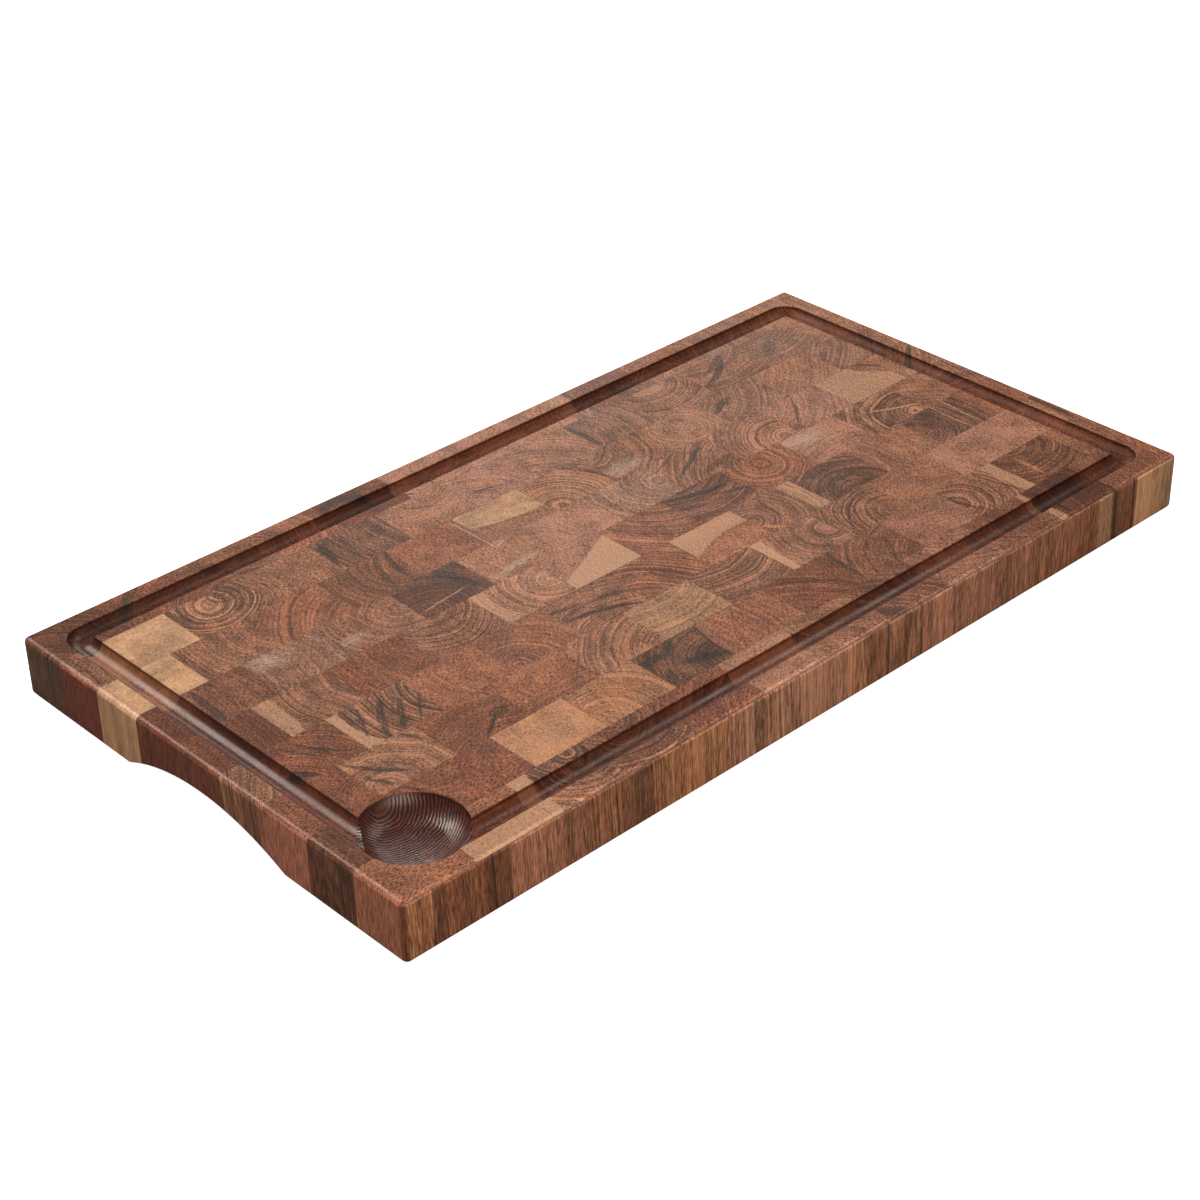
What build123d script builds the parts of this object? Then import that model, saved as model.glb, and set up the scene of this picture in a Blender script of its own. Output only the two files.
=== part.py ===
"""End-grain cutting board.

Short upright blocks of wood stand on their ends, glued side by side in rows. Each row is shifted
against the next, like brickwork. The top has a juice groove all round, with a round well in one
corner, and each short end has a finger grip scooped out of its lower edge.

Frame: millimetres, +Z up, origin at the centre of the underside, +X along the board.
The near long side is at -Y. The well is in the corner of the near side and the -X end.
"""

import os

from build123d import *

# Board
board_length = 520.0
board_width = 277.0
board_thickness = 32.0
edge_radius = 3.0

# Rows of blocks. Row 1 lies along the far long side. On the near side, past the last full row,
# the trimmed board keeps a thin remainder of one more row, the edge strip.
row_pitch = 30.7
block_pitch = 42.8
full_rows = 9
blocks_in_row = 13
odd_row_first_joint = 40.4     # from the -X end
even_row_first_joint = 15.6    # from the -X end, and for the edge strip
glue_thickness = 0.2

# Juice groove: a round-bottomed channel with rounded outer corners and sharp inner corners
groove_inset = 18.0            # from the board's sides to the middle of the groove
groove_width = 12.4
groove_depth = 5.2
groove_corner_radius = 5.5     # of the groove's middle line
groove_edge_radius = 0.6       # eased edges, on the groove and the well

# Juice well: a round dish with a sloping wall that curves widely into a nearly flat floor
well_inset = 36.1              # from the board's sides to the middle of the well
well_radius = 25.0
well_depth = 9.3               # in the middle
well_floor_radius = 21.0       # where the floor would meet the wall without the curve
well_side_depth = 8.4          # at that place
well_wall_radius = 15.0

# Finger grips: an arch in each short end that slopes out under the board, to an arch-shaped edge
grip_width = 121.0
grip_height = 14.5
grip_depth = 27.0
grip_edge_radius = 1.5

# Wood of each block, from the -X end: s sapwood, h heartwood, d dark streaked heartwood
wood_names = {"s": "sapwood", "h": "heartwood", "d": "dark_heartwood"}
wood_in_rows = (
    "dddhdhhhdhhhh",
    "hshhdhhhdhddh",
    "sdhdhshhhdhdh",
    "ddhhdhhhdhhhd",
    "dhhdhshdhhdhd",
    "hhdhhdhshdhdh",
    "hhhhhhhddhhhd",
    "ddhshdhhdhddh",
    "hsddhhhdhhdhd",
    "hhhdhhhdhhhds",
)

overrun = 5.0                  # how far cutters and rough blocks reach past the board

half_length = board_length / 2
half_width = board_width / 2

# Groove cutter: straight bars of a round section, with a quarter turn of the same section at each
# corner but the well's, where the bars end inside the well
groove_radius = ((groove_width / 2) ** 2 + groove_depth**2) / (2 * groove_depth)
groove_axis_height = board_thickness - groove_depth + groove_radius
bar_x = half_length - groove_inset
bar_y = half_width - groove_inset
corner_x = bar_x - groove_corner_radius
corner_y = bar_y - groove_corner_radius
well_x = well_inset - half_length
well_y = well_inset - half_width

with BuildPart() as groove_corner:
    with BuildSketch(Plane.XZ):
        with Locations((groove_corner_radius, groove_axis_height)):
            Circle(groove_radius)
        with Locations((0, groove_axis_height)):
            outer_half = (2 * groove_corner_radius + groove_radius, 2 * groove_radius)
            Rectangle(*outer_half, align=(Align.MIN, Align.CENTER), mode=Mode.INTERSECT)
    revolve(axis=Axis.Z, revolution_arc=90)

with BuildPart() as groove_cutter:
    with Locations((0, bar_y, groove_axis_height)):
        Cylinder(groove_radius, 2 * corner_x, rotation=(0, 90, 0))
    with Locations((bar_x, 0, groove_axis_height)):
        Cylinder(groove_radius, 2 * corner_y, rotation=(90, 0, 0))
    with Locations(((well_x + corner_x) / 2, -bar_y, groove_axis_height)):
        Cylinder(groove_radius, corner_x - well_x, rotation=(0, 90, 0))
    with Locations((-bar_x, (well_y + corner_y) / 2, groove_axis_height)):
        Cylinder(groove_radius, corner_y - well_y, rotation=(90, 0, 0))
    far_right = Location((corner_x, corner_y, 0), (0, 0, 0))
    far_left = Location((-corner_x, corner_y, 0), (0, 0, 90))
    near_right = Location((corner_x, -corner_y, 0), (0, 0, 270))
    with Locations(far_right, far_left, near_right):
        add(groove_corner.part)

# Well cutter: a turned dish
with BuildPart() as well_cutter:
    with BuildSketch(Plane.XZ):
        with BuildLine():
            floor = TangentArc(
                (0, board_thickness - well_depth),
                (well_floor_radius, board_thickness - well_side_depth),
                tangent=(1, 0),
            )
            top = board_thickness + overrun
            flare = (well_radius - well_floor_radius) / well_side_depth
            Polyline(floor @ 1, (well_radius + overrun * flare, top), (0, top), floor @ 0)
        make_face()
    revolve(axis=Axis.Z)
    fillet(well_cutter.edges().filter_by(Plane.XY).sort_by(Axis.Z)[0], radius=well_wall_radius)

# Grip cutter: a ball that leaves the arch in the end and its own round print in the underside
arch_radius = ((grip_width / 2) ** 2 + grip_height**2) / (2 * grip_height)
ball_below = arch_radius - grip_height
ball_outside = ((grip_width / 2) ** 2 - grip_depth**2) / (2 * grip_depth)
ball_radius = (ball_outside**2 + arch_radius**2) ** 0.5

# The whole board's shape, which every block is trimmed to
with BuildPart() as board:
    Box(board_length, board_width, board_thickness, align=(Align.CENTER, Align.CENTER, Align.MIN))
    fillet(board.edges(), radius=edge_radius)
    ball_x = half_length + ball_outside
    with Locations((-ball_x, 0, -ball_below), (ball_x, 0, -ball_below)):
        Sphere(ball_radius, mode=Mode.SUBTRACT)
    for end in (Axis.X, -Axis.X):
        curved_edges = board.faces().sort_by(end)[-1].edges().filter_by(GeomType.LINE, reverse=True)
        fillet(curved_edges.sort_by(Edge.length)[-1], radius=grip_edge_radius)
    add(groove_cutter.part, mode=Mode.SUBTRACT)
    with Locations((well_x, well_y, 0)):
        add(well_cutter.part, mode=Mode.SUBTRACT)
    rim, island = board.faces().filter_by(Plane.XY).group_by(Axis.Z)[-1].sort_by(SortBy.AREA)
    fillet(rim.inner_wires()[0].edges() + island.outer_wire().edges(), radius=groove_edge_radius)


def stretches(joints, reach):
    """Spans of wood between glue joints, in order from -reach to reach."""
    bounds = (-reach, *joints, reach)
    half_glue = glue_thickness / 2
    return [(low + half_glue, high - half_glue) for low, high in zip(bounds, bounds[1:])]


def block_joints(row):
    """Where the glue joints between a row's blocks are, along X."""
    first_joint = odd_row_first_joint if row % 2 else even_row_first_joint
    return [first_joint - half_length + count * block_pitch for count in range(blocks_in_row - 1)]


# Glue joints between rows, from the near side to the far side, and the rows' spans from row 1
row_joints = [half_width - count * row_pitch for count in range(full_rows, 0, -1)]
row_spans = stretches(row_joints, half_width + overrun)[::-1]


def upright_plates(rectangles):
    """Plates through the whole thickness, from (left, right, near, far), trimmed to the board."""
    with BuildPart() as plates:
        with BuildSketch(Plane.XY.offset(-overrun)):
            for left, right, near, far in rectangles:
                with Locations(((left + right) / 2, (near + far) / 2)):
                    Rectangle(right - left, far - near)
        extrude(amount=board_thickness + 2 * overrun)
        add(board.part, mode=Mode.INTERSECT)
    return plates.part


def save(part, label):
    part.label = label
    export_step(part, f"parts/{label}.step")


os.makedirs("parts", exist_ok=True)

# Blocks, gathered by row and by wood
for row, woods in enumerate(wood_in_rows, start=1):
    row_name = f"row_{row}" if row <= full_rows else "edge_strip"
    block_spans = stretches(block_joints(row), half_length + overrun)
    for letter in sorted(set(woods)):
        blocks = [(*span, *row_spans[row - 1]) for span, wood in zip(block_spans, woods) if wood == letter]
        save(upright_plates(blocks), f"{row_name}_{wood_names[letter]}_blocks")

# Glue lines of the first glue-up, across each row, and of the second, between the rows
cross_glue = [
    (joint - glue_thickness / 2, joint + glue_thickness / 2, *row_spans[row - 1])
    for row in range(1, full_rows + 2)
    for joint in block_joints(row)
]
long_glue = [
    (-half_length - overrun, half_length + overrun, joint - glue_thickness / 2, joint + glue_thickness / 2)
    for joint in row_joints
]
save(upright_plates(cross_glue), "cross_glue_lines")
save(upright_plates(long_glue), "long_glue_lines")
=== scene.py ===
"""Looks of the end-grain cutting board: wood, glue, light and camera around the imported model.

Every block stands on its end, so its growth rings are arcs on the top and on the underside, and
upright streaks on the sides. All blocks share one wood shader. What tells them apart is stored on
their vertices as attributes, from the table LOOKS. Marks of single blocks, such as knots, cracks
and pale sapwood, are in the table MARKS. Lengths are in millimetres unless they say so.
"""

import math
import random
import re

import bpy
from mathutils import Matrix, Vector

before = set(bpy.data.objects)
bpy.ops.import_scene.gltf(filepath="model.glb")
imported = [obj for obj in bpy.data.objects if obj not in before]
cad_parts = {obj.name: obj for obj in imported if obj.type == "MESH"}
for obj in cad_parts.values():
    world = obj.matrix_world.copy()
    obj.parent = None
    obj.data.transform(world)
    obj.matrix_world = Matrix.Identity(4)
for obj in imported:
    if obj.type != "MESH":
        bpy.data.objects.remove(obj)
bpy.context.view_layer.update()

MM = 0.001

# Layout of the board, as in the CAD model
HALF_LENGTH = 260.0
HALF_WIDTH = 138.5
ROW_PITCH = 30.7
BLOCK_PITCH = 42.8
FIRST_JOINT = {1: 40.4, 0: 15.6}      # of odd and even rows, from the -X end
BLOCKS_IN_ROW = 13
EDGE_STRIP = 10                       # row number of the thin strip along the near side
ROW_NUMBER = re.compile(r"row_(\d+)_")
WELL_CENTRE = (36.1 - HALF_LENGTH, 36.1 - HALF_WIDTH, 0.0)
WELL_RADIUS = 25.0

# Look of each block, from the -X end: tone 1 dark to 9 pale, hue letter, side of the block on
# which its rings are centred, how far off they are centred (0 inside the block, 3 far away),
# then strength of the fine ring lines and of the broad dark bands, 0 to 9.
LOOKS = {
    1: "3nSW2-54 4rSE2-46 4nS2-35 5rW1-53 3rS2-33 6pN2-20 6pN3-10 6pW3-20 4gW3-34 5nS1-42 "
       "5gW3-42 6nW3-33 5nW3-20",
    2: "5nW2-53 8yN3-10 6nN0-73 5nW2-40 4gE3-57 6nN2-30 6pSW2-30 6nSW2-40 5gW2-55 6nN1-60 "
       "5nN2-54 5gN2-43 6nN2-30",
    3: "8yN3-10 5nE2-43 5rSE2-40 4nE1-44 5rNE2-20 7yS2-20 6nSW1-70 5nNW1-50 6nO0-40 5gNW2-44 "
       "6nNW3-30 5gNW3-43 6nW3-30",
    4: "3rW2-43 4nW2-44 5gW2-32 5nE1-43 3gSW1-57 6nE2-20 6pN3-10 6gE1-42 5nSE2-53 6nSE1-50 "
       "6pNW2-31 5nSW1-63 6nNW3-32",
    5: "3rW3-32 5nE2-63 4rE2-32 5nN1-63 7nE1-50 6pNW2-20 5rNE2-65 4nN2-65 5rN0-50 6pS2-20 "
       "6nSE1-73 5nSW2-42 5gW3-43",
    6: "5nNW2-53 4rSW2-43 5nE2-77 5rE1-20 5rSW1-40 5nS2-54 5rSW2-64 6rS3-20 6nW1-62 4gS1-67 "
       "5nW2-31 4gW1-56 5rW3-32",
    7: "4rW3-20 6nSW1-52 4rS2-33 5rS3-30 6nSE2-42 6yN2-30 5nN2-63 6nE1-64 5nSE1-64 5nS2-20 "
       "6pN3-10 6pN3-10 5rW2-44",
    8: "3nW2-45 4rS2-20 4rN2-20 7oN3-10 6oSW1-40 3ySE1-59 5rW2-30 4rSW2-43 4nSE2-43 5pS2-20 "
       "5nW1-63 4nN1-63 5nW3-30",
    9: "5rN3-10 5rN3-20 5nNE1-76 4nN1-64 4rSE2-40 6pN3-10 5nSW2-42 4nSW2-53 5pNE2-30 4nNE2-42 "
       "2nW2-45 4nW3-32 5rSE2-33",
    10: "6oE2-42 4nE2-44 5pW2-33 5nE3-44 6oW2-32 7pE2-43 7pW2-32 6nS2-54 6pW2-21 5pE2-32 "
        "5nW2-33 4nN1-66 7yE2-22",
}
LOOK_PATTERN = re.compile(r"(\d)([a-z])([NESWO]+)(\d)-(\d)(\d)")

HUES = {
    "r": (0.305, 0.114, 0.056),       # red-brown
    "p": (0.308, 0.132, 0.078),       # pinkish
    "n": (0.300, 0.126, 0.066),       # brown
    "g": (0.282, 0.130, 0.076),       # grey-brown
    "y": (0.325, 0.158, 0.080),       # tan
    "o": (0.330, 0.138, 0.064),       # orange
}
TONES = {1: 0.28, 2: 0.40, 3: 0.55, 4: 0.76, 5: 1.0, 6: 1.18, 7: 1.38, 8: 1.62, 9: 1.9}
TONE_POWERS = (1.0, 1.3, 1.4)         # dark wood is redder and pale wood yellower
DIRECTIONS = {"N": (0, 1), "E": (1, 0), "S": (0, -1), "W": (-1, 0), "O": (0, 0)}
RING_OFFSETS = (6.0, 20.0, 45.0, 110.0)
RING_SPACINGS = (3.0, 4.6)            # from the narrowest rings to the widest
SEEDS = (50.0, 900.0)

# Colours of marks
INK = (0.028, 0.021, 0.016)           # blue-black streaks
DARK = (0.075, 0.036, 0.020)
PALE = (0.560, 0.310, 0.175)
WHITE = (0.600, 0.420, 0.320)
ORANGE = (0.560, 0.240, 0.100)
BROWN = (0.270, 0.105, 0.056)
RED = (0.150, 0.029, 0.015)
PINK = (0.400, 0.145, 0.088)

# Colours of the glue
GLUE_DARK = (0.085, 0.048, 0.030)
GLUE_PALE = (0.16, 0.092, 0.058)

# Tints, which a colour is multiplied by
WARM = (1.20, 0.92, 0.74)
LINED_GROUND = (1.20, 1.21, 1.22)     # the ground between ring lines
THIN_LINE = (0.20, 0.18, 0.18)
FINE_LINE = (0.36, 0.32, 0.31)
PORE = (0.35, 0.31, 0.31)
CUT_TONE_AND_SHADE = (0.53, 0.34, 0.26)            # groove and well: darker cut wood, partly painted shade in the hollows
# painted shade in the well
WELL_SHADE = (0.60, 0.50, 0.44)
RIDGE = (0.35, 0.30, 0.28)
EDGE_HIGHLIGHT = (2.0, 2.1, 2.3)                # painted highlight along the rounded upper edge
CORNER_SHADE = (0.40, 0.30, 0.26)           # painted shade on the upright corners
# painted shade on the upper wall of the groove and well, just under the rim
RIM_SHADE = (0.22, 0.18, 0.16)

# Rings and bands
STRONG_BEND = (7.0, 1.0)              # of the rings, by the slow and by the fast waves
SLIGHT_BEND = (3.0, 1.8)              # of the marks
FINE_LINE_SHIFT = 40.0                # keeps the fine lines off the thin ones
BAND_SPACING = 9.0
LINE_STEP = 0.125                     # share of the ring lines per point of their strength
BAND_STEP = 0.1

# Surface
BUMP_DEPTH = 0.2
WOOD_BUMP = 0.6
GLUE_BUMP = 0.3
OIL_TINT = (1.0, 0.87, 0.79)          # of reflections
SANDING_ANGLE = math.radians(8.0)
RIDGE_CENTRE = (37.5 - HALF_LENGTH, 65.0 - HALF_WIDTH, 0.0)
RIDGE_PITCH = 1.6

# Marks: row, block, kind, then centre from the -X end and from the far side, length, width, angle
# from +X, bend, colour, strength. A "side" mark fills everything to the left of its direction, and
# one that runs along x = 2 colours the block's face on the -X end.
MARKS = (
    (1, 4, "spot", 186, 7.5, 36, 9, -8, -0.030, INK, 0.9),
    (1, 5, "spot", 214.5, 27.5, 6, 1.6, -35, 0, INK, 1.0),
    (1, 7, "spot", 335, 8, 13, 32, 0, 0, PALE, 0.5),
    (1, 1, "spot", 52, 12, 44, 4, 50, 0, INK, 0.6),
    (1, 2, "spot", 96, 10, 40, 5, -20, -0.01, INK, 0.45),
    (1, 0, "side", 2, 15, 60, 1, 90, 0, DARK, 0.7),
    (1, 0, "spot", 0, 22, 10, 2.4, 0, 0, INK, 0.95),
    (1, 0, "spot", 0, 12, 10, 1.6, 0, 0, INK, 0.7),
    (2, 2, "spot", 62, 40, 26, 4, -85, 0, DARK, 0.7),
    (2, 2, "knot", 90, 38, 17, 14, -15, 0, DARK, 0.8),
    (2, 4, "spot", 149, 45, 30, 6, 75, 0.004, INK, 0.85),
    (2, 4, "spot", 161, 46, 30, 3.5, 82, 0, INK, 0.55),
    (2, 5, "spot", 209, 41, 24, 1.1, -38, 0.020, INK, 0.9),
    (2, 6, "spot", 245, 52, 28, 1.3, -12, -0.012, INK, 0.8),
    (2, 8, "spot", 318, 46, 34, 6, 92, 0, INK, 0.8),
    (2, 10, "spot", 420, 46, 46, 5, 33, 0.006, INK, 0.85),
    (2, 10, "spot", 425, 38, 38, 4, 30, 0.006, INK, 0.7),
    (2, 11, "spot", 462, 45, 30, 9, 45, 0, INK, 0.35),
    (2, 0, "side", 2, 46, 60, 1, 90, 0, RED, 0.95),
    (3, 3, "spot", 157, 75, 34, 4, 72, -0.01, INK, 0.6),
    (3, 3, "spot", 165, 76, 34, 4, 80, -0.01, INK, 0.75),
    (3, 4, "spot", 206, 68, 26, 1.6, -55, 0, DARK, 0.7),
    (3, 5, "side", 232, 82, 60, 1, 168, -0.006, BROWN, 0.9),
    (3, 5, "spot", 232, 82, 60, 1.3, -12, -0.006, DARK, 0.7),
    (3, 7, "spot", 312, 68, 40, 1.4, 33, 0.012, INK, 0.8),
    (3, 9, "spot", 395, 74, 24, 6, 25, 0, INK, 0.7),
    (3, 11, "spot", 475, 74, 26, 4, 40, 0, INK, 0.6),
    (3, 7, "smear", 306, 85, 44, 16, 4, 0, WHITE, 0.5),
    (3, 4, "spot", 211, 80, 34, 0.9, 90, 0, WHITE, 0.8),
    (3, 5, "spot", 212.2, 78, 34, 0.9, 90, 0, WHITE, 0.8),
    (4, 1, "spot", 30, 108, 30, 5, 88, 0, INK, 0.6),
    (4, 2, "smear", 70, 98, 30, 20, -30, 0, WHITE, 0.65),
    (4, 3, "smear", 108, 113, 26, 10, 5, 0, WHITE, 0.55),
    (4, 4, "spot", 178, 106, 34, 9, -72, 0.004, INK, 0.8),
    (4, 4, "spot", 163, 116, 33, 0.9, 4, 0, PALE, 0.9),
    (4, 4, "spot", 144.6, 114, 18, 0.9, 78, -0.01, PALE, 0.8),
    (4, 5, "smear", 208, 117, 40, 8, 4, 0, WHITE, 0.7),
    (4, 8, "spot", 338, 105, 42, 3.6, 27, -0.004, INK, 0.9),
    (4, 8, "spot", 330, 96, 34, 2.2, 24, 0, INK, 0.6),
    (4, 8, "spot", 345, 117, 30, 6, 12, 0, INK, 0.5),
    (4, 10, "spot", 418, 107, 32, 2.4, 52, 0.006, INK, 0.8),
    (4, 10, "knot", 404, 119, 7, 5, -30, 0, DARK, 0.9),
    (4, 11, "side", 480, 105, 60, 1, 128, -0.006, PALE, 0.55),
    (4, 12, "spot", 507, 108, 34, 4, 38, 0, INK, 0.9),
    (4, 5, "spot", 211.5, 95, 9, 0.9, 90, 0, WHITE, 0.8),
    (4, 5, "spot", 215.5, 97, 9, 1.0, 22, 0, WHITE, 0.8),
    (4, 0, "side", 2, 107, 60, 1, 90, 0, RED, 0.85),
    (4, 0, "spot", 0, 101, 12, 1.8, 0, 0, INK, 0.8),
    (5, 1, "side", 52, 140, 60, 1, 85, 0.006, PALE, 0.5),
    (5, 3, "spot", 147, 130, 42, 2, -4, 0.003, INK, 0.6),
    (5, 3, "spot", 145, 137, 40, 2, -6, 0.003, INK, 0.5),
    (5, 4, "side", 177, 140, 60, 1, 92, 0, PALE, 0.5),
    (5, 5, "side", 236, 136, 60, 1, 205, 0, PALE, 0.8),
    (5, 7, "spot", 318, 132, 46, 4.5, -14, 0.006, INK, 0.95),
    (5, 7, "spot", 306, 139, 20, 3.6, -20, 0, INK, 0.85),
    (5, 7, "spot", 334, 142, 20, 3.6, -16, 0, INK, 0.8),
    (5, 9, "smear", 396, 131, 40, 16, 3, 0, WHITE, 0.7),
    (5, 10, "spot", 455, 141, 40, 1.8, -27, 0, PALE, 0.8),
    (5, 10, "spot", 445, 131, 26, 3, 72, 0, INK, 0.5),
    (5, 10, "knot", 431, 128, 6, 6, 0, 0, DARK, 0.8),
    (5, 0, "side", 2, 138, 60, 1, 90, 0, RED, 0.5),
    (5, 0, "spot", 0, 131, 12, 2.4, 0, 0, INK, 0.7),
    (6, 2, "side", 65, 169, 60, 1, 96, -0.012, PALE, 0.75),
    (6, 2, "spot", 78, 172, 34, 5, 60, -0.006, INK, 0.85),
    (6, 2, "spot", 88, 174, 30, 4, 55, 0, INK, 0.8),
    (6, 2, "spot", 71, 165, 30, 1.8, 66, 0, INK, 0.8),
    (6, 2, "spot", 97, 176, 24, 2, 52, 0, INK, 0.8),
    (6, 5, "spot", 208, 175, 46, 3.6, -16, -0.008, INK, 0.95),
    (6, 5, "spot", 196, 163, 26, 3.5, -10, 0, INK, 0.7),
    (6, 5, "spot", 222, 168, 14, 5, -10, 0, INK, 0.6),
    (6, 7, "side", 294, 168, 60, 1, 12, -0.006, PALE, 0.6),
    (6, 8, "spot", 322, 181, 14, 2.6, -48, 0, ORANGE, 0.8),
    (6, 8, "spot", 332, 166, 30, 1.6, 82, -0.01, INK, 0.7),
    (6, 8, "side", 350, 168, 60, 1, 270, 0, PALE, 0.45),
    (6, 9, "spot", 380, 171, 46, 7, 2, -0.008, INK, 0.55),
    (6, 9, "spot", 378, 182, 44, 5, 2, -0.008, INK, 0.6),
    (6, 11, "spot", 461, 169, 40, 12, 90, 0, INK, 0.55),
    (6, 11, "spot", 470, 169, 40, 1.2, 90, 0, PALE, 0.8),
    (6, 11, "spot", 479, 169, 40, 1.2, 86, 0, PALE, 0.8),
    (6, 1, "spot", 27, 179, 17, 6, -42, 0, INK, 0.9),
    (6, 1, "spot", 45, 170, 34, 2.6, -53, 0.006, INK, 0.75),
    (6, 1, "spot", 36, 166, 24, 2, -55, 0.006, INK, 0.65),
    (7, 1, "spot", 52, 199, 34, 3.4, -52, 0.008, INK, 0.9),
    (7, 1, "spot", 79, 190, 14, 2.5, -66, 0, INK, 0.75),
    (7, 1, "spot", 48, 207, 18, 2.6, -60, 0, INK, 0.8),
    (7, 2, "knot", 119, 204, 9, 6, 0, 0, INK, 1.0),
    (7, 2, "spot", 110, 209.5, 22, 2.4, 36, 0, INK, 1.0),
    (7, 4, "spot", 190, 199, 30, 4, 62, 0, INK, 0.35),
    (7, 7, "side", 305, 199, 60, 1, 86, 0, PALE, 0.85),
    (7, 7, "spot", 330, 200, 36, 9, 85, 0, INK, 0.45),
    (7, 8, "spot", 356, 199, 44, 1.6, 44, -0.012, INK, 0.8),
    (7, 12, "spot", 516, 199, 40, 4, 90, 0, INK, 0.8),
    (7, 0, "side", 2, 200, 60, 1, 90, 0, PINK, 1.0),
    (8, 1, "spot", 55, 221, 12, 2.6, -60, 0, INK, 0.7),
    (8, 3, "spot", 120, 232, 42, 26, 0, 0, PALE, 0.25),
    (8, 4, "spot", 160, 231, 34, 1.8, 72, 0, ORANGE, 0.75),
    (8, 5, "side", 226, 231, 60, 1, 262, 0.008, BROWN, 0.9),
    (8, 5, "spot", 190, 224, 30, 7, 10, 0, INK, 0.9),
    (8, 5, "spot", 214, 238, 26, 8, -20, 0, INK, 0.9),
    (8, 5, "spot", 207, 221, 18, 6, 40, 0, INK, 0.8),
    (8, 5, "spot", 192, 240, 16, 6, 60, 0, INK, 0.7),
    (8, 5, "spot", 225.5, 231, 40, 1.6, 82, -0.008, INK, 0.9),
    (8, 7, "spot", 292, 225, 48, 1.8, -34, -0.006, INK, 0.8),
    (8, 7, "spot", 284, 236, 22, 9, -30, 0, INK, 0.35),
    (8, 8, "spot", 318, 230, 36, 5.5, 82, -0.004, INK, 0.8),
    (8, 8, "spot", 346, 236, 24, 3.5, 55, 0, INK, 0.6),
    (8, 10, "spot", 404, 230, 36, 2.4, -80, 0.006, INK, 0.8),
    (8, 10, "spot", 432, 230, 34, 2, -76, 0.004, INK, 0.7),
    (8, 10, "side", 436.5, 230, 60, 1, 270, 0, PALE, 0.6),
    (8, 11, "spot", 458, 232, 22, 2.8, 90, 0, ORANGE, 0.8),
    (8, 11, "spot", 470, 233, 46, 2.4, 4, 0.006, INK, 0.6),
    (8, 0, "spot", 0, 226, 14, 2.2, 0, 0, INK, 0.8),
    (8, 0, "spot", 0, 237, 14, 1.8, 0, 0, INK, 0.8),
    (9, 1, "side", 62, 264, 60, 1, 180, 0, PALE, 0.7),
    (9, 2, "side", 93, 260, 60, 1, 80, 0, PALE, 0.8),
    (9, 7, "side", 300, 268, 60, 1, 140, 0, DARK, 0.8),
    (9, 10, "side", 432, 260, 60, 1, 90, 0, PALE, 0.6),
    (9, 10, "spot", 437, 262, 30, 4, 88, 0, INK, 0.9),
    (9, 12, "spot", 500, 268, 40, 2, 35, 0.01, INK, 0.6),
    (9, 0, "side", 2, 261, 60, 1, 90, 0, PINK, 0.7),
    (10, 1, "spot", 49, 277, 9, 1.6, 90, 0, INK, 1.0),
    (10, 3, "spot", 134, 277, 20, 17, 90, 0, DARK, 0.6),
    (10, 5, "spot", 208, 277, 14, 9, 90, 0, DARK, 0.5),
    (10, 7, "spot", 296, 277, 9, 2.6, 90, 0, INK, 0.8),
    (10, 7, "spot", 309, 277, 9, 1.8, 90, 0, INK, 0.8),
    (10, 8, "spot", 320, 277, 9, 2.2, 90, 0, INK, 0.7),
    (10, 11, "spot", 462, 277, 14, 12, 90, 0, PALE, 0.6),
    (10, 0, "side", 2, 277, 60, 1, 90, 0, PINK, 0.6),
)

# Round marks: where their share falls off, in half lengths from the middle, and how much of a
# mark is left between its streaks
FALL_OFF = {"spot": (0.6, 1.15), "smear": (0.0, 1.15), "knot": (0.9, 1.5)}
LEAST_SHARE = {"spot": 0.5, "smear": 0.1}
SIDE_BLUR = 0.7


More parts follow.
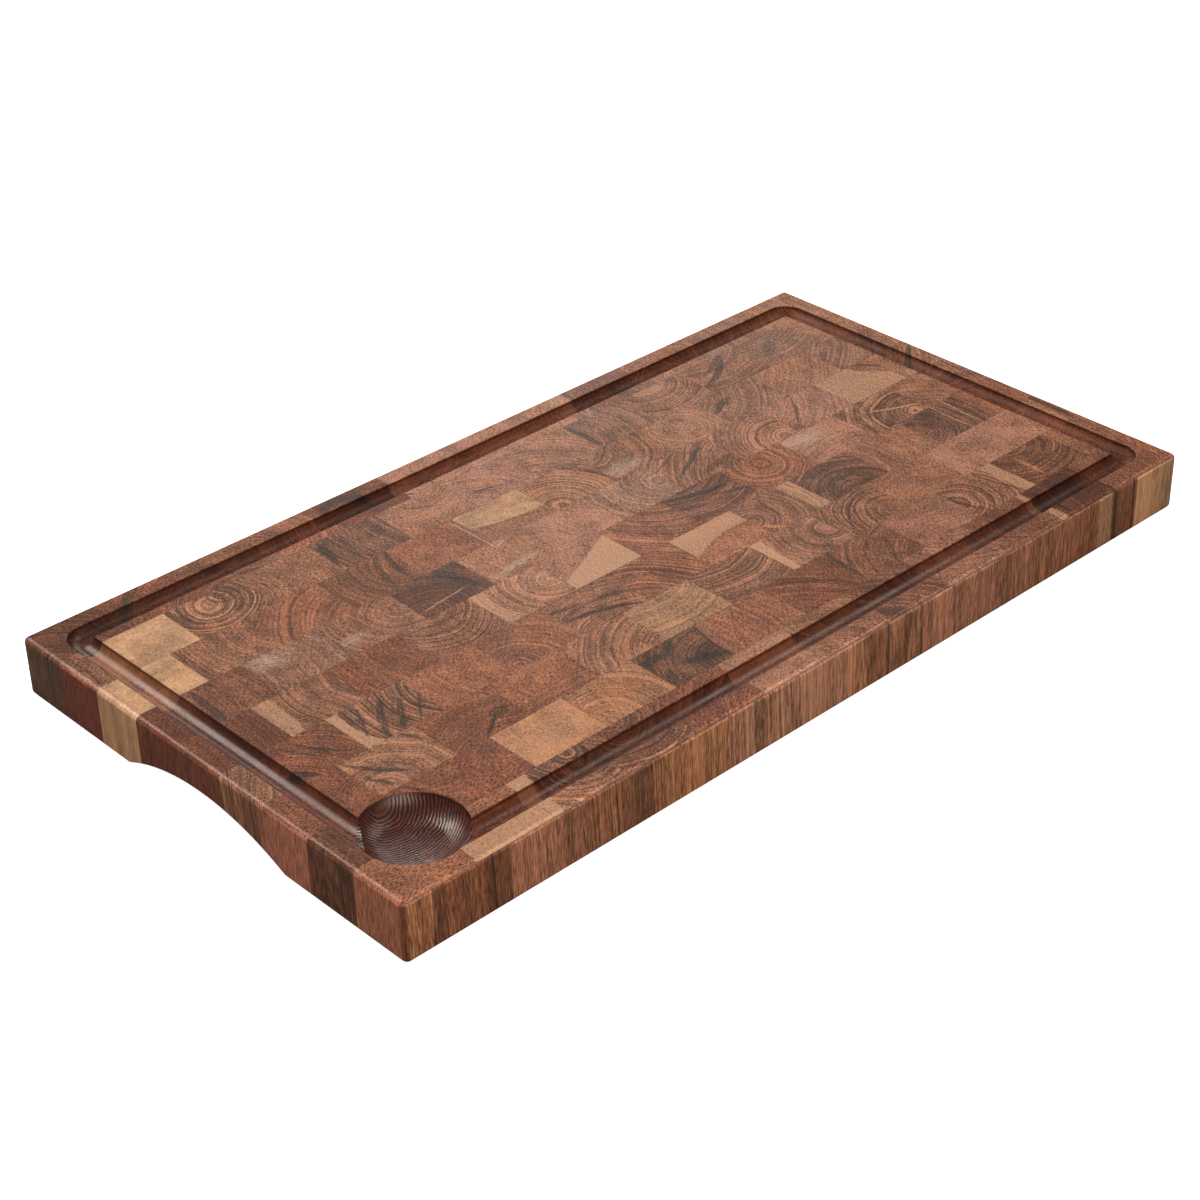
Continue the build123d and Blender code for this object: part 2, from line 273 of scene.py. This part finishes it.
class Graph:
    """Short calls that build a node tree. A value can be a number, a vector or a socket."""

    def __init__(self, tree):
        self.tree = tree

    def node(self, kind, **settings):
        made = self.tree.nodes.new(kind)
        for name, value in settings.items():
            setattr(made, name, value)
        return made

    def put(self, socket, value):
        if isinstance(value, bpy.types.NodeSocket):
            self.tree.links.new(value, socket)
            return
        if socket.type == "RGBA" and len(value) == 3:
            value = (*value, 1.0)
        socket.default_value = value

    def math(self, operation, *values, clamp=False):
        made = self.node("ShaderNodeMath", operation=operation, use_clamp=clamp)
        for socket, value in zip(made.inputs, values):
            self.put(socket, value)
        return made.outputs[0]

    def vector(self, operation, *values):
        made = self.node("ShaderNodeVectorMath", operation=operation)
        for socket, value in zip(made.inputs, values):
            self.put(socket, value)
        return made.outputs["Value" if operation in ("LENGTH", "DISTANCE") else "Vector"]

    def scaled(self, vector, factor):
        made = self.node("ShaderNodeVectorMath", operation="SCALE")
        self.put(made.inputs["Vector"], vector)
        self.put(made.inputs["Scale"], factor)
        return made.outputs["Vector"]

    def turned(self, vector, angle):
        """Parts of a vector along and across a direction at an angle from +X."""
        made = self.node("ShaderNodeVectorRotate", rotation_type="Z_AXIS", invert=True)
        self.put(made.inputs["Vector"], vector)
        self.put(made.inputs["Angle"], angle)
        along, across, _ = self.split(made.outputs[0])
        return along, across

    def split(self, vector):
        made = self.node("ShaderNodeSeparateXYZ")
        self.put(made.inputs[0], vector)
        return made.outputs[0], made.outputs[1], made.outputs[2]

    def joined(self, x, y, z=0.0):
        made = self.node("ShaderNodeCombineXYZ")
        for socket, value in zip(made.inputs, (x, y, z)):
            self.put(socket, value)
        return made.outputs[0]

    def noise(self, vector, scale, detail, roughness=0.5):
        made = self.node("ShaderNodeTexNoise")
        self.put(made.inputs["Vector"], vector)
        self.put(made.inputs["Scale"], scale)
        self.put(made.inputs["Detail"], detail)
        self.put(made.inputs["Roughness"], roughness)
        return made.outputs["Fac"]

    def waves(self, vector, scale, detail):
        """Noise of three numbers around zero."""
        made = self.node("ShaderNodeTexNoise")
        self.put(made.inputs["Vector"], vector)
        self.put(made.inputs["Scale"], scale)
        self.put(made.inputs["Detail"], detail)
        return self.vector("SUBTRACT", made.outputs["Color"], (0.5, 0.5, 0.5))

    def line_noise(self, position, scale, detail, roughness):
        made = self.node("ShaderNodeTexNoise", noise_dimensions="1D")
        self.put(made.inputs["W"], position)
        self.put(made.inputs["Scale"], scale)
        self.put(made.inputs["Detail"], detail)
        self.put(made.inputs["Roughness"], roughness)
        return made.outputs["Fac"]

    def step(self, value, low, high, start=0.0, end=1.0):
        made = self.node("ShaderNodeMapRange", interpolation_type="SMOOTHSTEP")
        for socket, number in zip(made.inputs, (value, low, high, start, end)):
            self.put(socket, number)
        return made.outputs[0]

    def mix(self, factor, a, b, blend="MIX"):
        made = self.node("ShaderNodeMix", data_type="RGBA", blend_type=blend)
        self.put(made.inputs["Factor"], factor)
        colours = [socket for socket in made.inputs if socket.type == "RGBA"]
        self.put(colours[0], a)
        self.put(colours[1], b)
        return [socket for socket in made.outputs if socket.type == "RGBA"][0]

    def tinted(self, share, colour, tint):
        """The colour multiplied by the tint, as far as the share says."""
        return self.mix(share, colour, self.mix(1.0, colour, tint, "MULTIPLY"))

    def attribute(self, name):
        made = self.node("ShaderNodeAttribute", attribute_name=name)
        return made.outputs["Vector"]


def new_group(name, inputs, outputs):
    """A node group with the given sockets, and a graph to fill it with."""
    group = bpy.data.node_groups.new(name, "ShaderNodeTree")
    kinds = {"f": "NodeSocketFloat", "v": "NodeSocketVector", "c": "NodeSocketColor"}
    for label, kind in inputs:
        group.interface.new_socket(label, in_out="INPUT", socket_type=kinds[kind])
    for label, kind in outputs:
        group.interface.new_socket(label, in_out="OUTPUT", socket_type=kinds[kind])
    graph = Graph(group)
    start = graph.node("NodeGroupInput")
    end = graph.node("NodeGroupOutput")
    return group, graph, start.outputs, end.inputs


def use_group(graph, group, **values):
    made = graph.node("ShaderNodeGroup", node_tree=group)
    for label, value in values.items():
        graph.put(made.inputs[label], value)
    return made.outputs


def position_mm(g):
    place = g.node("ShaderNodeTexCoord").outputs["Object"]
    return g.scaled(place, 1 / MM)


def bent_place(g, flat, slow, fast, amounts):
    """The place, moved by slow and fast waves."""
    wave = g.vector("ADD", g.scaled(slow, amounts[0]), g.scaled(fast, amounts[1]))
    return g.vector("ADD", flat, wave)


def line_where_middle(g, noise, full, gone):
    """A thin line wherever a noise passes its middle value."""
    off_middle = g.math("ABSOLUTE", g.math("SUBTRACT", noise, 0.5))
    return g.step(off_middle, full, gone, 1.0, 0.0)


def ground_colour(g, seeded):
    """The block's tone, mottled, with warmer patches."""
    tone = g.attribute("look_tone")
    mottle = g.step(g.noise(seeded, 0.07, 5.0, 0.7), 0.3, 0.7, 0.72, 1.34)
    warm = g.step(g.noise(seeded, 0.12, 2.0), 0.5, 0.75, 0.0, 0.3)
    return g.tinted(warm, g.mix(1.0, tone, mottle, "MULTIPLY"), WARM)


def grain_group():
    """Ground colour, growth rings and dark bands of one block."""
    outputs = (("Color", "c"), ("Height", "f"), ("Place", "v"), ("Block", "f"))
    group, g, _, out = new_group("end_grain", (), outputs)
    x, y, z = g.split(position_mm(g))
    seed = g.attribute("look_seed")
    seed_x, seed_y, _ = g.split(seed)
    ring_x, ring_y, spacing = g.split(g.attribute("look_ring"))
    lines, bands, block = g.split(g.attribute("look_marks"))

    # Fibres run upright with a slight lean, so z counts for little
    lean = g.joined(g.math("MULTIPLY", z, 0.05), g.math("MULTIPLY", z, -0.03))
    flat = g.vector("ADD", g.joined(x, y, g.math("MULTIPLY", z, 0.06)), lean)
    seeded = g.vector("ADD", flat, seed)
    slow = g.waves(seeded, 0.03, 1.0)
    fast = g.waves(seeded, 0.22, 2.0)
    bent_x, bent_y, _ = g.split(bent_place(g, flat, slow, fast, STRONG_BEND))
    radius = g.vector("DISTANCE", g.joined(bent_x, bent_y), g.joined(ring_x, ring_y))

    # Ring lines, thin dark ones and fainter fine ones
    turn = g.math("ADD", g.math("DIVIDE", radius, spacing), seed_x)
    ring = g.line_noise(turn, 1.0, 3.0, 0.6)
    fine = g.line_noise(g.math("ADD", turn, FINE_LINE_SHIFT), 1.7, 1.0, 0.6)
    lined = g.math("MULTIPLY", lines, LINE_STEP, clamp=True)
    patchy = g.step(g.noise(seeded, 0.16, 2.0), 0.35, 0.62, 0.45, 1.0)
    thin = g.math("MULTIPLY", line_where_middle(g, ring, 0.005, 0.065), lined)
    thin = g.math("MULTIPLY", thin, patchy)
    fine = g.math("MULTIPLY", line_where_middle(g, fine, 0.01, 0.085), lined)

    # Broad dark bands
    band_turn = g.math("ADD", g.math("DIVIDE", radius, BAND_SPACING), seed_y)
    band = g.step(g.line_noise(band_turn, 1.0, 2.0, 0.5), 0.52, 0.62)
    band = g.math("MULTIPLY", band, g.step(g.noise(seeded, 0.09, 2.0), 0.35, 0.6))
    band = g.math("MULTIPLY", g.math("MULTIPLY", band, bands), BAND_STEP)

    colour = g.tinted(lined, ground_colour(g, seeded), LINED_GROUND)
    colour = g.tinted(thin, colour, THIN_LINE)
    colour = g.tinted(fine, colour, FINE_LINE)
    colour = g.tinted(lined, colour, g.step(ring, 0.32, 0.68, 0.82, 1.20))
    colour = g.mix(band, colour, g.mix(0.6, colour, INK))

    g.put(out["Color"], colour)
    g.put(out["Height"], g.math("MULTIPLY", g.math("ADD", thin, fine), -0.3))
    g.put(out["Place"], bent_place(g, flat, slow, fast, SLIGHT_BEND))
    g.put(out["Block"], block)
    return group


def round_share(g, kind, reach, along, across):
    """Share of a round mark: a knot has rings, and the others are broken into streaks."""
    share = g.step(reach, *FALL_OFF[kind], 1.0, 0.0)
    if kind == "knot":
        wave = g.math("SINE", g.math("MULTIPLY", reach, 16.0))
        return g.math("MULTIPLY", share, g.step(wave, -0.2, 0.9, 0.25, 1.0))
    streaks = g.noise(g.joined(g.math("MULTIPLY", along, 0.14), across), 0.8, 3.0, 0.65)
    broken = g.step(streaks, 0.38, 0.55, LEAST_SHARE[kind], 1.0)
    return g.math("MULTIPLY", share, broken)


def mark_group(kind):
    """Share of a mark at a place: a round mark with soft ends, or all of one side of a line."""
    inputs = (("Place", "v"), ("Center", "v"), ("Angle", "f"), ("Length", "f"), ("Width", "f"),
              ("Bend", "f"), ("Block", "f"), ("Wanted", "f"), ("Strength", "f"))
    group, g, given, out = new_group("mark_" + kind, inputs, (("Share", "f"),))
    offset = g.vector("SUBTRACT", given["Place"], given["Center"])
    along, across = g.turned(offset, given["Angle"])
    bend = g.math("MULTIPLY", g.math("MULTIPLY", along, along), given["Bend"])
    across = g.math("SUBTRACT", across, bend)
    if kind == "side":
        share = g.step(across, -SIDE_BLUR, SIDE_BLUR)
    else:
        a = g.math("DIVIDE", along, g.math("MULTIPLY", given["Length"], 0.5))
        b = g.math("DIVIDE", across, g.math("MULTIPLY", given["Width"], 0.5))
        share = round_share(g, kind, g.vector("LENGTH", g.joined(a, b)), along, across)
    same_block = g.math("COMPARE", given["Block"], given["Wanted"], 0.3)
    share = g.math("MULTIPLY", share, same_block)
    g.put(out["Share"], g.math("MULTIPLY", share, given["Strength"]))
    return group


def milling(g, place, x, y, cut):
    """Where the well is, and the ridges that the cutter left in it."""
    flat = g.joined(x, y)
    from_middle = g.vector("DISTANCE", flat, WELL_CENTRE)
    in_well = g.step(from_middle, WELL_RADIUS - 1.0, WELL_RADIUS, 1.0, 0.0)
    in_well = g.math("MULTIPLY", in_well, cut)
    radius = g.vector("DISTANCE", flat, RIDGE_CENTRE)
    wander = g.math("MULTIPLY", g.noise(place, 0.12, 2.0), 3.0)
    turn = g.math("MULTIPLY", g.math("ADD", radius, wander), 2 * math.pi / RIDGE_PITCH)
    worn = g.step(g.noise(place, 0.25, 3.0), 0.35, 0.6, 0.35, 1.0)
    ridge = g.math("MULTIPLY", g.math("SINE", turn), worn)
    ridge = g.math("MULTIPLY", g.math("MULTIPLY", ridge, in_well), g.step(radius, 5.0, 11.0))
    return in_well, ridge


def textured(g, colour, flat, sanding, dashes, pores):
    """The colour with the light and dark of the texture, which dark wood shows more."""
    brightness = g.node("ShaderNodeRGBToBW")
    g.put(brightness.inputs[0], colour)
    shown = g.step(brightness.outputs[0], 0.13, 0.32, 1.0, 0.35)
    stroke_light = g.math("MULTIPLY", g.step(sanding, 0.38, 0.62, 0.36, 1.76), flat)
    dash_light = g.math("MULTIPLY", g.step(dashes, 0.36, 0.64, 0.55, 1.50),
                        g.math("SUBTRACT", 1.0, flat))
    colour = g.tinted(shown, colour, g.math("ADD", dash_light, stroke_light))
    return g.tinted(g.math("MULTIPLY", g.math("MULTIPLY", pores, shown), 0.6), colour, PORE)


def finish_and_painted_light_group():
    """The sanded and oiled surface with painted light: texture, a painted highlight on the upper
    edges, painted shade on the upright corners and under the rims, and the glossy groove and well,
    darker partly in their own colour and partly from painted shade.
    """
    inputs = (("Color", "c"), ("Height", "f"))
    outputs = (("Color", "c"), ("Roughness", "f"), ("Height", "f"), ("Gloss", "f"))
    group, g, given, out = new_group("oiled_finish_and_painted_light", inputs, outputs)
    place = position_mm(g)
    x, y, z = g.split(place)
    _, _, normal_z = g.split(g.node("ShaderNodeNewGeometry").outputs["Normal"])
    flat = g.step(g.math("ABSOLUTE", normal_z), 0.75, 0.95)

    # Parts of the board: the groove and well lie below the top and inside the outline
    inset_x = g.math("SUBTRACT", HALF_LENGTH, g.math("ABSOLUTE", x))
    inset_y = g.math("SUBTRACT", HALF_WIDTH, g.math("ABSOLUTE", y))
    inset = g.math("MINIMUM", inset_x, inset_y)
    below_top = g.math("MULTIPLY", g.step(inset, 5.5, 6.5), g.step(z, 31.45, 31.9, 1.0, 0.0))
    cut = g.math("MULTIPLY", below_top, g.step(z, 18.0, 19.0))
    edge = g.math("MULTIPLY", g.step(inset, 1.4, 3.0, 1.0, 0.0), g.step(z, 29.4, 30.4))
    corner_shade = g.step(g.math("MAXIMUM", inset_x, inset_y), 1.8, 3.2, 0.8, 0.0)
    rim_shade = g.math("MULTIPLY", g.step(z, 30.0, 31.2), cut)
    in_well, ridge = milling(g, place, x, y, cut)

    # Sanding lines along the board on the flat faces, fibre dashes up the sides
    along, across = g.turned(g.joined(x, y), SANDING_ANGLE)
    strokes = g.joined(g.math("MULTIPLY", along, 0.5), g.math("MULTIPLY", across, 2.0), z)
    sanding = g.noise(strokes, 1.0, 1.0, 0.7)
    fibre = g.joined(x, y, g.math("MULTIPLY", z, 0.08))
    fibre = g.vector("ADD", fibre, g.attribute("look_seed"))
    dashes = g.noise(fibre, 1.7, 2.0, 0.7)
    pores = g.step(g.noise(fibre, 1.25, 0.0), 0.62, 0.70)

    colour = textured(g, given["Color"], flat, sanding, dashes, pores)
    # Groove and well darker: partly the cut wood's colour, partly painted shade in the hollows
    colour = g.tinted(cut, colour, CUT_TONE_AND_SHADE)
    # Painted highlight along the rounded upper edge
    colour = g.tinted(g.math("MULTIPLY", edge, 0.6), colour, EDGE_HIGHLIGHT)
    # Painted shade on the upright corners
    colour = g.tinted(corner_shade, colour, CORNER_SHADE)
    # Painted shade on the upper wall of the groove and well, just under the rim
    colour = g.tinted(g.math("MULTIPLY", rim_shade, 0.8), colour, RIM_SHADE)
    # Painted shade in the well
    colour = g.tinted(in_well, colour, WELL_SHADE)
    colour = g.tinted(g.step(ridge, -0.2, 0.7, 0.0, 0.6), colour, RIDGE)
    g.put(out["Color"], colour)

    # Gloss of the oil, which has dried out toward the far right
    to_far_right = g.math("ADD", g.math("MULTIPLY", x, 0.72), g.math("MULTIPLY", y, 0.69))
    oiled = g.step(to_far_right, -130.0, 110.0, 1.0, 0.25)
    polished = g.math("MULTIPLY", g.math("MAXIMUM", cut, edge), oiled)
    rough = g.step(g.noise(place, 0.05, 3.0), 0.3, 0.7, 0.44, 0.56)
    rough = g.math("ADD", rough, g.math("MULTIPLY", g.math("SUBTRACT", sanding, 0.5), 0.2))
    g.put(out["Roughness"], g.math("ADD", rough, g.math("MULTIPLY", polished, -0.17)))
    gloss = g.step(polished, 0.0, 1.0, 0.25, 0.70)
    gloss = g.math("ADD", gloss, g.math("MULTIPLY", in_well, 0.3))
    g.put(out["Gloss"], g.math("MULTIPLY", gloss, g.step(ridge, -0.4, 0.6, 1.0, 0.2)))

    # Height of the texture, in shares of the bump's depth
    rows = g.math("MULTIPLY", g.math("SUBTRACT", sanding, 0.5), flat)
    rows = g.math("ADD", rows, g.math("MULTIPLY", g.math("SUBTRACT", dashes, 0.5), 0.8))
    height = g.math("ADD", given["Height"], g.math("MULTIPLY", pores, -0.35))
    height = g.math("ADD", height, g.math("MULTIPLY", rows, 0.9))
    height = g.math("MULTIPLY", height, g.step(cut, 0.0, 1.0, 1.0, 0.35))
    g.put(out["Height"], g.math("ADD", height, g.math("MULTIPLY", ridge, 0.35)))
    return group


def surface(g, finished, bump_strength):
    shader = g.node("ShaderNodeBsdfPrincipled")
    bump = g.node("ShaderNodeBump")
    g.put(bump.inputs["Height"], finished["Height"])
    g.put(bump.inputs["Strength"], bump_strength)
    g.put(bump.inputs["Distance"], BUMP_DEPTH * MM)
    g.put(shader.inputs["Base Color"], finished["Color"])
    g.put(shader.inputs["Roughness"], finished["Roughness"])
    g.put(shader.inputs["Normal"], bump.outputs[0])
    g.put(shader.inputs["Specular IOR Level"], finished["Gloss"])
    g.put(shader.inputs["Specular Tint"], OIL_TINT)
    end = g.node("ShaderNodeOutputMaterial")
    g.put(end.inputs["Surface"], shader.outputs[0])


def new_material(name):
    material = bpy.data.materials.new(name)
    material.use_nodes = True
    material.node_tree.nodes.clear()
    return material, Graph(material.node_tree)


GRAIN = grain_group()
MARK_KINDS = {kind: mark_group(kind) for kind in ("spot", "smear", "side", "knot")}
FINISH_AND_PAINTED_LIGHT = finish_and_painted_light_group()


def wood_material(node_name, row):
    """The shared wood, with the marks of the row's blocks laid over it."""
    material, g = new_material(node_name)
    grain = use_group(g, GRAIN)
    colour = grain["Color"]
    for mark_row, block, kind, x, y, length, width, angle, bend, tint, strength in MARKS:
        if mark_row != row:
            continue
        centre = (x - HALF_LENGTH, HALF_WIDTH - y, 0.0)
        share = use_group(
            g, MARK_KINDS[kind], Place=grain["Place"], Center=centre, Length=float(length),
            Width=float(width), Angle=math.radians(angle), Bend=float(bend),
            Block=grain["Block"], Wanted=float(block), Strength=strength,
        )["Share"]
        colour = g.mix(share, colour, tint)
    finished = use_group(g, FINISH_AND_PAINTED_LIGHT, Color=colour, Height=grain["Height"])
    surface(g, finished, WOOD_BUMP)
    return material


def glue_material():
    material, g = new_material("glue")
    tint = g.step(g.noise(position_mm(g), 0.15, 3.0), 0.3, 0.7)
    colour = g.mix(tint, GLUE_DARK, GLUE_PALE)
    finished = use_group(g, FINISH_AND_PAINTED_LIGHT, Color=colour, Height=0.0)
    surface(g, finished, GLUE_BUMP)
    return material


def block_look(row, block):
    """Tone, ring centre and spacing, and strengths of one block."""
    code = LOOKS[row].split()[block]
    tone, hue, side, far, lines, bands = LOOK_PATTERN.fullmatch(code).groups()
    left = FIRST_JOINT[row % 2] + (block - 1) * BLOCK_PITCH - HALF_LENGTH
    centre = Vector((left + BLOCK_PITCH / 2, HALF_WIDTH - (row - 0.5) * ROW_PITCH))
    toward = sum((Vector(DIRECTIONS[letter]) for letter in side), Vector((0, 0)))
    if toward.length > 0:
        toward.normalize()
    ring = centre + toward * RING_OFFSETS[int(far)]
    draw = random.Random(100 * row + block)
    light = TONES[int(tone)]
    tone_vector = [channel * light**power for channel, power in zip(HUES[hue], TONE_POWERS)]
    return {
        "look_tone": tone_vector,
        "look_ring": (ring.x, ring.y, draw.uniform(*RING_SPACINGS)),
        "look_marks": (int(lines), int(bands), block),
        "look_seed": (draw.uniform(*SEEDS), draw.uniform(*SEEDS), draw.uniform(*SEEDS)),
    }


def dress_blocks(obj, row):
    """Stores the looks of the row's blocks on their vertices."""
    looks = [block_look(row, block) for block in range(BLOCKS_IN_ROW)]
    first_joint = FIRST_JOINT[row % 2]
    owners = []
    for vertex in obj.data.vertices:
        from_end = vertex.co.x / MM + HALF_LENGTH
        block = math.floor((from_end - first_joint) / BLOCK_PITCH) + 1
        owners.append(looks[min(max(block, 0), BLOCKS_IN_ROW - 1)])
    for name in ("look_tone", "look_ring", "look_marks", "look_seed"):
        layer = obj.data.attributes.new(name, "FLOAT_VECTOR", "POINT")
        layer.data.foreach_set("vector", [part for look in owners for part in look[name]])


def assign(obj, material):
    obj.data.materials.clear()
    obj.data.materials.append(material)


GLUE = glue_material()
for name, obj in sorted(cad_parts.items()):
    if name.endswith("glue_lines"):
        assign(obj, GLUE)
        continue
    found = ROW_NUMBER.match(name)
    row = int(found.group(1)) if found else EDGE_STRIP
    dress_blocks(obj, row)
    assign(obj, wood_material(name, row))


# Stage: a pale floor, soft studio light and the camera. Lengths here are in metres.
FLOOR_HALF = 6.0
FLOOR_DROP = 0.0002
FLOOR_SEEN = (0.9, 0.9, 0.9)
FLOOR_BOUNCE = (0.50, 0.45, 0.40)     # what the board receives from the floor
FLOOR_GLOW = 0.93                     # seen by the camera only
SKY_SEEN = 1.0
SKY_LIGHT = 0.20

# Name, direction, distance, size, power in watts, colour
LIGHTS = (
    ("back_light", (-0.26, 0.66, 0.71), 1.65, 1.0, 17.0, (1.0, 0.97, 0.94)),
    ("side_light", (0.61, -0.09, 0.78), 1.6, 0.8, 5.8, (1.0, 0.96, 0.90)),
    ("haze_light", (0.56, 0.72, 0.41), 1.2, 0.7, 3.2, (1.0, 0.99, 0.98)),
    ("front_light", (-0.35, -0.80, 0.42), 1.3, 0.9, 7.6, (1.0, 0.93, 0.82)),
)

CAMERA_PLACE = (-0.7448, -0.7805, 0.6843)
CAMERA_YAW = math.radians(42.88)      # from +Y toward +X
CAMERA_PITCH = math.radians(32.48)    # down from level
CAMERA_ROLL = math.radians(1.18)
LENS = 77.0                           # millimetres, on a sensor 36 mm wide
SENSOR = 36.0


def floor():
    mesh = bpy.data.meshes.new("floor")
    corners = [(-1, -1, 0), (1, -1, 0), (1, 1, 0), (-1, 1, 0)]
    corners = [(x * FLOOR_HALF, y * FLOOR_HALF, z) for x, y, z in corners]
    mesh.from_pydata(corners, [], [(0, 1, 2, 3)])
    obj = bpy.data.objects.new("floor", mesh)
    obj.location.z = -FLOOR_DROP
    bpy.context.scene.collection.objects.link(obj)
    material, g = new_material("floor")
    seen = g.node("ShaderNodeLightPath").outputs["Is Camera Ray"]
    diffuse = g.node("ShaderNodeBsdfDiffuse")
    g.put(diffuse.inputs["Color"], g.mix(seen, FLOOR_BOUNCE, FLOOR_SEEN))
    glow = g.node("ShaderNodeEmission")
    g.put(glow.inputs["Strength"], g.math("MULTIPLY", seen, FLOOR_GLOW))
    both = g.node("ShaderNodeAddShader")
    g.put(both.inputs[0], diffuse.outputs[0])
    g.put(both.inputs[1], glow.outputs[0])
    end = g.node("ShaderNodeOutputMaterial")
    g.put(end.inputs["Surface"], both.outputs[0])
    mesh.materials.append(material)


def soft_light(name, direction, distance, size, power, colour):
    light = bpy.data.lights.new(name, "AREA")
    light.shape = "DISK"
    light.size = size
    light.energy = power
    light.color = colour
    obj = bpy.data.objects.new(name, light)
    toward = Vector(direction).normalized()
    obj.location = toward * distance
    obj.rotation_mode = "QUATERNION"
    obj.rotation_quaternion = toward.to_track_quat("Z", "Y")
    bpy.context.scene.collection.objects.link(obj)


def surroundings():
    """A white backdrop for the camera, and a weaker white light for the board."""
    world = bpy.data.worlds.new("studio")
    bpy.context.scene.world = world
    world.use_nodes = True
    world.node_tree.nodes.clear()
    g = Graph(world.node_tree)
    mixed = g.node("ShaderNodeMixShader")
    g.put(mixed.inputs[0], g.node("ShaderNodeLightPath").outputs["Is Camera Ray"])
    for socket, strength in zip(mixed.inputs[1:], (SKY_LIGHT, SKY_SEEN)):
        background = g.node("ShaderNodeBackground")
        g.put(background.inputs["Color"], (1.0, 1.0, 1.0))
        g.put(background.inputs["Strength"], strength)
        g.put(socket, background.outputs[0])
    end = g.node("ShaderNodeOutputWorld")
    g.put(end.inputs["Surface"], mixed.outputs[0])


def camera():
    data = bpy.data.cameras.new("camera")
    data.lens = LENS
    data.sensor_width = SENSOR
    obj = bpy.data.objects.new("camera", data)
    level = Vector((math.sin(CAMERA_YAW), math.cos(CAMERA_YAW), 0.0))
    forward = level * math.cos(CAMERA_PITCH) - Vector((0.0, 0.0, math.sin(CAMERA_PITCH)))
    right = Vector((math.cos(CAMERA_YAW), -math.sin(CAMERA_YAW), 0.0))
    down = forward.cross(right)
    rolled_right = right * math.cos(CAMERA_ROLL) + down * math.sin(CAMERA_ROLL)
    rolled_down = down * math.cos(CAMERA_ROLL) - right * math.sin(CAMERA_ROLL)
    turn = Matrix((rolled_right, -rolled_down, -forward)).transposed()
    obj.matrix_world = Matrix.Translation(CAMERA_PLACE) @ turn.to_4x4()
    bpy.context.scene.collection.objects.link(obj)
    bpy.context.scene.camera = obj


bpy.context.scene.view_settings.view_transform = "Standard"
floor()
surroundings()
for settings in LIGHTS:
    soft_light(*settings)
camera()
